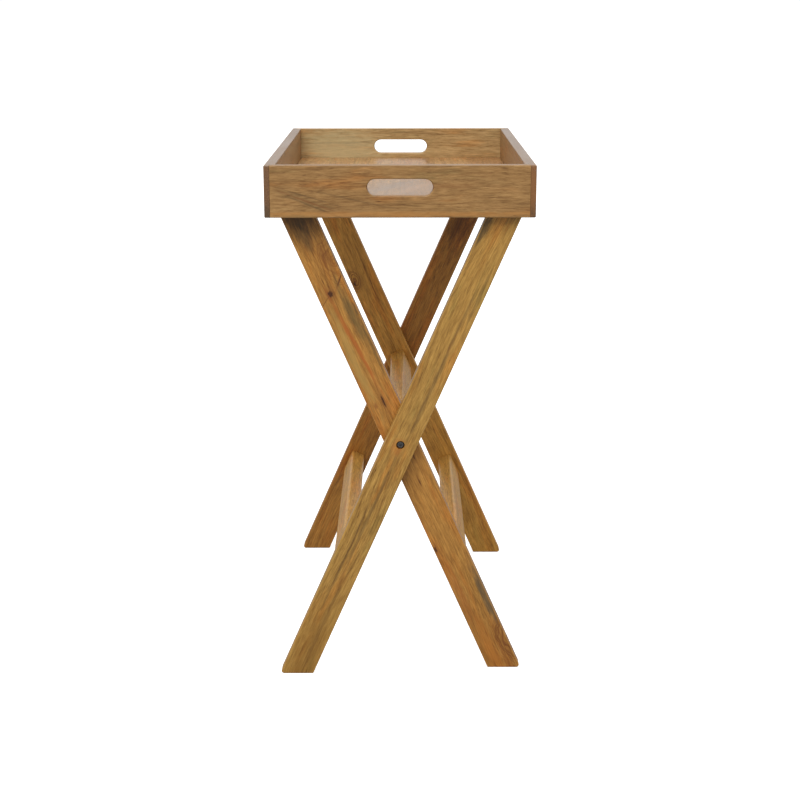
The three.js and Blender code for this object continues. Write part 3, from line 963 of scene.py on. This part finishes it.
def build_stand():
    """The four legs and the three rails, each with its own wood."""
    outer_front = [
        tint(352, -20, 40, 9, DARK_OLIVE, 0.80),
        tint(130, 7, 170, 4.5, DARK_OLIVE, 0.42),
        tint(-110, 1, 200, 3.5, DARK_OLIVE, 0.42),
        tint(-200, -6, 160, 3.0, DARK_OLIVE, 0.34),
        tint(-300, 5, 110, 5.0, DARK_OLIVE, 0.30),
        tint(250, 15, 70, 3.5, DARK_OLIVE, 0.30),
        # painted shade: the foot darkened, where the light falls off toward the floor
        tint(-335, 2, 130, 34, (142, 98, 34), 0.45),
        tint(3, -1, 20, 13, (188, 116, 46), 0.55),
    ]
    inner_front = [
        # partly a dark stain, partly painted shadow of the tray on the leg's top
        tint(378, 2, 50, 44, (54, 36, 12), 0.80),
        tint(340, 0, 34, 16, DARK_OLIVE, 0.50),
        tint(300, 12, 34, 9, RED_BROWN, 0.45),
        swirl(292, 20, 34, 0.34),
        tint(208, 13, 74, 10, (92, 80, 46), 0.66),
        tint(160, 20, 84, 3, (70, 60, 38), 0.55),
        tint(150, -13, 130, 9, (180, 145, 78), 0.60),
        tint(166, -1, 106, 5.0, (176, 98, 38), 0.82, -0.079),
        tint(71, -11.5, 8, 4, (140, 80, 36), 0.60),
        knot(250, -3.6, 6.0, 4.4),
        knot(264, 17, 9.0, 1.4, 0.8, 0.9),
        knot(243, -14, 8.0, 0.8, 0.5, 1.4),
        knot(74, 1.5, 13, 1.7),
        knot(-19, 8.4, 9, 1.3, 0.6),
        knot(-62, 1.0, 8, 1.2, 0.6),
        knot(-169, -20, 6, 2.4, 0.8),
        tint(-262, 19, 72, 9, (82, 76, 60), 0.70),
        tint(-250, -14, 90, 9, (168, 96, 40), 0.45),
        tint(-360, 14, 60, 14, RED_BROWN, 0.35),
        tint(-335, -8, 80, 16, (184, 116, 44), 0.50),
        swirl(-345, 28, 34, 0.62),
    ]
    inner_rear = [swirl(176, -15, 17, 0.80), knot(170, -18, 5, 3, 0.8)]
    # painted shadow of the tray on the leg's top
    outer_rear = [tint(330, 0, 150, 34, (80, 44, 12), 0.78)]
    boards = (
        ("outer_leg_front", 1, -1, LEG_GOLD, 0.9, 0.30, outer_front),
        ("outer_leg_rear", 1, 1, REAR_BROWN, 1.0, 0.55, outer_rear),
        ("inner_leg_front", -1, -1, LEG_ORANGE, 0.8, 0.60, inner_front),
        ("inner_leg_rear", -1, 1, REAR_ORANGE, 0.8, 0.60, inner_rear),
    )
    # the legs' rounded edges get a stronger painted highlight, with some rubbing by use
    matt = {"coat": 0.05, "wear": 0.8, "gleam": 0.35}
    for seed, (name, lean, end, colour, figure, warm, marks) in enumerate(boards, start=11):
        outer = name.startswith("outer")
        pith = (0.012 * lean, -0.08 - 0.01 * end)
        material = wood(f"wood_{name}", float(seed), colour, figure, warm, pith, marks, **matt)
        leg(name, lean, end, "outer_frame" if outer else "inner_frame", material, outer)
    rails = (("outer_foot_rail", 1), ("inner_foot_rail", -1), ("pivot_rail", -1))
    for seed, (name, lean) in enumerate(rails, start=15):
        material = wood(f"wood_{name}", float(seed), RAIL_GOLD, 0.6, 0.65, coat=0.0, gleam=0.20)
        rail(name, lean, "outer_frame" if lean > 0 else "inner_frame", material)


def finish_hardware():
    """Gives the carried-over CAD pieces their materials."""
    zinc = zinc_steel()
    looks = {
        "pivot_bolt": black_steel("black_oxide_bolt", (74, 74, 78), (122, 120, 118)),
        # painted shade: the washer sits deep in the counterbore and gets a darker black oxide
        # than the bolt
        "head_washer": black_steel("black_oxide_washer_shaded", (30, 30, 33), (52, 50, 50)),
        "spacer_washer": nylon(),
        "threaded_insert": zinc,
        "corner_pin": zinc,
        "dowel": bare_beech(),
    }
    for name, obj in frame["nodes"].items():
        for word, material in looks.items():
            if word in name:
                obj.data.materials.clear()
                obj.data.materials.append(material)


# ---------------------------------------------------------------- floor, light and camera


def build_floor():
    """A plain pale floor, white to the camera, greyer as a light, and clear from below."""
    mesh = bpy.data.meshes.new("studio_floor")
    flat = rectangle((-FLOOR_REACH, -FLOOR_REACH), (FLOOR_REACH, FLOOR_REACH))
    mesh.from_pydata([(corner.x, corner.y, 0) for corner in flat], [], [(0, 1, 2, 3)])
    floor = bpy.data.objects.new("studio_floor", mesh)
    bpy.context.scene.collection.objects.link(floor)
    s = Shader("studio_floor")
    seen = s.node("ShaderNodeLightPath").outputs["Is Camera Ray"]
    s.set(Base_Color=s.mix(seen, FLOOR_LIT, FLOOR_SEEN))
    s.set(Emission_Strength=s.math("MULTIPLY", seen, FLOOR_GLOW))
    s.surface.inputs["Emission Color"].default_value = WHITE
    s.surface.inputs["Roughness"].default_value = 0.9
    s.surface.inputs["Specular IOR Level"].default_value = 0.1
    clear = s.node("ShaderNodeBsdfTransparent").outputs[0]
    below = s.node("ShaderNodeNewGeometry").outputs["Backfacing"]
    shown = s.node("ShaderNodeMixShader", {0: below, 1: s.surface.outputs[0], 2: clear})
    s.feed(s.tree.nodes["Material Output"].inputs["Surface"], shown.outputs[0])
    mesh.materials.append(s.material)


def build_backdrop():
    """An even room, a little brighter behind the table, and white to the camera."""
    world = bpy.data.worlds.new("studio_backdrop")
    world.use_nodes = True
    s = Nodes(world.node_tree)
    heading = s.node("ShaderNodeTexCoord").outputs["Generated"]
    depth = s.node("ShaderNodeSeparateXYZ", {0: heading}).outputs[1]
    room = s.smooth(depth, -0.7, 0.8, ROOM_FRONT, ROOM_BACK)
    seen = s.node("ShaderNodeLightPath").outputs["Is Camera Ray"]
    strength = s.math("MAXIMUM", room, s.math("MULTIPLY", seen, BACKDROP_SEEN))
    background = world.node_tree.nodes["Background"]
    background.inputs["Color"].default_value = WHITE
    s.feed(background.inputs["Strength"], strength)
    bpy.context.scene.world = world


def place_softbox():
    """A large soft light above and in front of the table."""
    data = bpy.data.lights.new("key_softbox", "AREA")
    data.shape = "SQUARE"
    data.size = SOFTBOX_SIZE
    data.energy = SOFTBOX_POWER
    lamp = bpy.data.objects.new("key_softbox", data)
    lamp.location = SOFTBOX_AT
    lamp.rotation_mode = "QUATERNION"
    aim = Vector(SOFTBOX_AIM) - Vector(SOFTBOX_AT)
    lamp.rotation_quaternion = aim.to_track_quat("-Z", "Y")
    bpy.context.scene.collection.objects.link(lamp)


def place_camera():
    """Looks along +Y from in front of the tray's short end, a little above it."""
    data = bpy.data.cameras.new("camera")
    data.lens = CAMERA_LENS
    data.sensor_width = CAMERA_SENSOR
    camera = bpy.data.objects.new("camera", data)
    yaw, pitch, roll = (math.radians(turn) for turn in CAMERA_TURN)
    forward = Vector((
        math.sin(yaw) * math.cos(pitch),
        math.cos(yaw) * math.cos(pitch),
        -math.sin(pitch),
    ))
    level = Vector((math.cos(yaw), -math.sin(yaw), 0))
    upright = level.cross(forward)
    right = math.cos(roll) * level + math.sin(roll) * upright
    up = right.cross(forward)
    camera.matrix_world = axes(right, up, -forward, CAMERA_AT)
    bpy.context.scene.collection.objects.link(camera)
    bpy.context.scene.camera = camera


bpy.context.scene.view_settings.view_transform = "Standard"
place_camera()
build_floor()
build_backdrop()
place_softbox()
build_tray()
build_stand()
finish_hardware()
